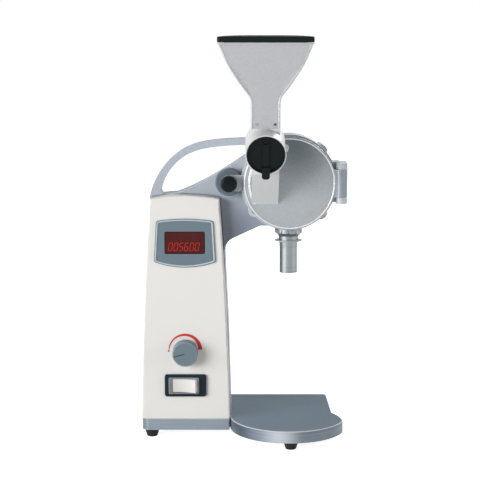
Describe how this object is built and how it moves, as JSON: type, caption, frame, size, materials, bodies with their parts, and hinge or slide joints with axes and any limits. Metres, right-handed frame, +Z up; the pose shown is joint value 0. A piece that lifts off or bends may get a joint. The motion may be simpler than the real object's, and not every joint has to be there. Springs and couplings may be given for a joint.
{
  "type": "analytical lab mill",
  "caption": "Bench-top laboratory mill with a control column, lifting handle, round hinged grinding chamber, tilted feed valve, tall hopper and outlet over a round base.",
  "frame": {"origin": "middle of the bounding box at the bottom of the feet", "axes": "+Z up, -Y the front with the controls and the feed knob, +X towards the door hinge"},
  "size_m": [0.2512, 0.276, 0.4921],
  "materials": {
    "casting_paint": "satin powder coat",
    "base_paint": "satin powder coat",
    "cover_white": "warm white moulded",
    "panel_grey": "satin grey-blue moulded",
    "display_red": "dark red filter",
    "black_plastic": "fine moulded grain",
    "switch_dark": "moulded",
    "guard_clear": "clear moulded",
    "rocker_white": "gloss",
    "foot_rubber": "moulded",
    "sheet_steel": "fine brushed",
    "turned_steel": "turned",
    "washer_clear": "translucent",
    "cast_aluminium": "bead blasted",
    "motor_paint": "satin",
    "motor_iron": "laminated",
    "contact_brass": "machined",
    "board_green": "lacquered"
  },
  "bodies": {
    "base": {"base_plate": "base_paint", "feet": "foot_rubber", "foot_screws": "turned_steel", "cast_frame": "casting_paint", "front_cover": "cover_white", "rear_cover": "base_paint", "rear_cover_screws": "turned_steel", "mains_inlet": "black_plastic", "inlet_pins": "contact_brass", "display_bezel": "panel_grey", "display_window": "display_red", "display_module": "black_plastic", "control_board": "board_green", "speed_pot": "black_plastic", "switch_housing": "switch_dark", "rocker_guard": "guard_clear", "chamber_housing": "cast_aluminium", "chamber_screws": "turned_steel", "shaft_seal": "foot_rubber", "hinge_bracket": "cast_aluminium", "hinge_screws": "turned_steel", "hinge_pin": "turned_steel", "latch_boss": "base_paint", "interlock_switch": "black_plastic", "outlet_nut": "turned_steel", "outlet_collar": "turned_steel", "outlet_washer": "washer_clear", "outlet_tube": "turned_steel", "motor_housing": "motor_paint", "motor_stator": "motor_iron", "front_bearing": "turned_steel", "brush_holders": "black_plastic", "brush_caps": "black_plastic", "motor_end_cap": "motor_paint", "rear_bearing": "turned_steel", "sieve_ring": "sheet_steel"},
    "rotor_train": {"motor_shaft": "turned_steel", "armature": "motor_iron", "commutator": "contact_brass", "cooling_fan": "black_plastic", "rotor": "turned_steel", "rotor_nut": "turned_steel"},
    "door": {"door": "cast_aluminium", "door_seal": "foot_rubber", "feed_housing": "cast_aluminium", "hopper": "sheet_steel", "hopper_grub_screws": "turned_steel"},
    "latch_sleeve": {"latch_collar": "turned_steel"},
    "latch_screw": {"latch_knob": "black_plastic", "latch_stud": "turned_steel"},
    "feed_valve": {"valve_plug": "turned_steel", "valve_o_ring": "foot_rubber", "feed_knob": "black_plastic", "valve_screw": "turned_steel"},
    "lid": {"hopper_lid": "black_plastic"},
    "speed_dial": {"speed_knob": "panel_grey", "speed_shaft": "turned_steel"},
    "rocker": {"rocker": "rocker_white"},
    "plunger": {"interlock_plunger": "black_plastic"},
    "fuse_tray": {"fuse_drawer": "black_plastic"}
  },
  "joints": [
    {"name": "door_swing", "type": "hinge", "parent": "base", "child": "door", "pos_m": [0.1188, -0.06604, 0.3166], "axis": [0, 0, 1], "range_deg": [0, 110]},
    {"name": "latch_turn", "type": "hinge", "parent": "latch_sleeve", "child": "latch_screw", "pos_m": [-0.0163, -0.07704, 0.3166], "axis": [0, -1, 0], "range_deg": [0, 1440]},
    {"name": "latch_draw", "type": "slide", "parent": "door", "child": "latch_sleeve", "axis": [0, -1, 0], "range_m": [0, 0.008]},
    {"name": "plunger_travel", "type": "slide", "parent": "base", "child": "plunger", "axis": [0, -1, 0], "range_m": [0, 0.002]},
    {"name": "feed_turn", "type": "hinge", "parent": "door", "child": "feed_valve", "pos_m": [0.0268, -0.13204, 0.3557], "axis": [0, -0.9744, -0.225], "range_deg": [0, 90]},
    {"name": "lid_lift", "type": "slide", "parent": "door", "child": "lid", "axis": [0, 0, 1], "range_m": [0, 0.06]},
    {"name": "speed_turn", "type": "hinge", "parent": "base", "child": "speed_dial", "pos_m": [-0.0698, -0.06704, 0.1084], "axis": [0, 1, 0], "range_deg": [0, 208]},
    {"name": "rocker_tilt", "type": "hinge", "parent": "base", "child": "rocker", "pos_m": [-0.0702, -0.05904, 0.0666], "axis": [0, 0, 1], "range_deg": [0, 22]},
    {"name": "motor_spin", "type": "hinge", "parent": "base", "child": "rotor_train", "pos_m": [0.0562, -0.04704, 0.3166], "axis": [0, 1, 0], "continuous": true},
    {"name": "fuse_slide", "type": "slide", "parent": "base", "child": "fuse_tray", "axis": [0, 1, 0], "range_m": [0, 0.018]}
  ],
  "couplings": [
    {"joint": "latch_draw", "follows": "latch_turn", "m_per_rad": 0.00031831},
    {"joint": "plunger_travel", "follows": "latch_turn", "m_per_rad": 0.000079577}
  ]
}
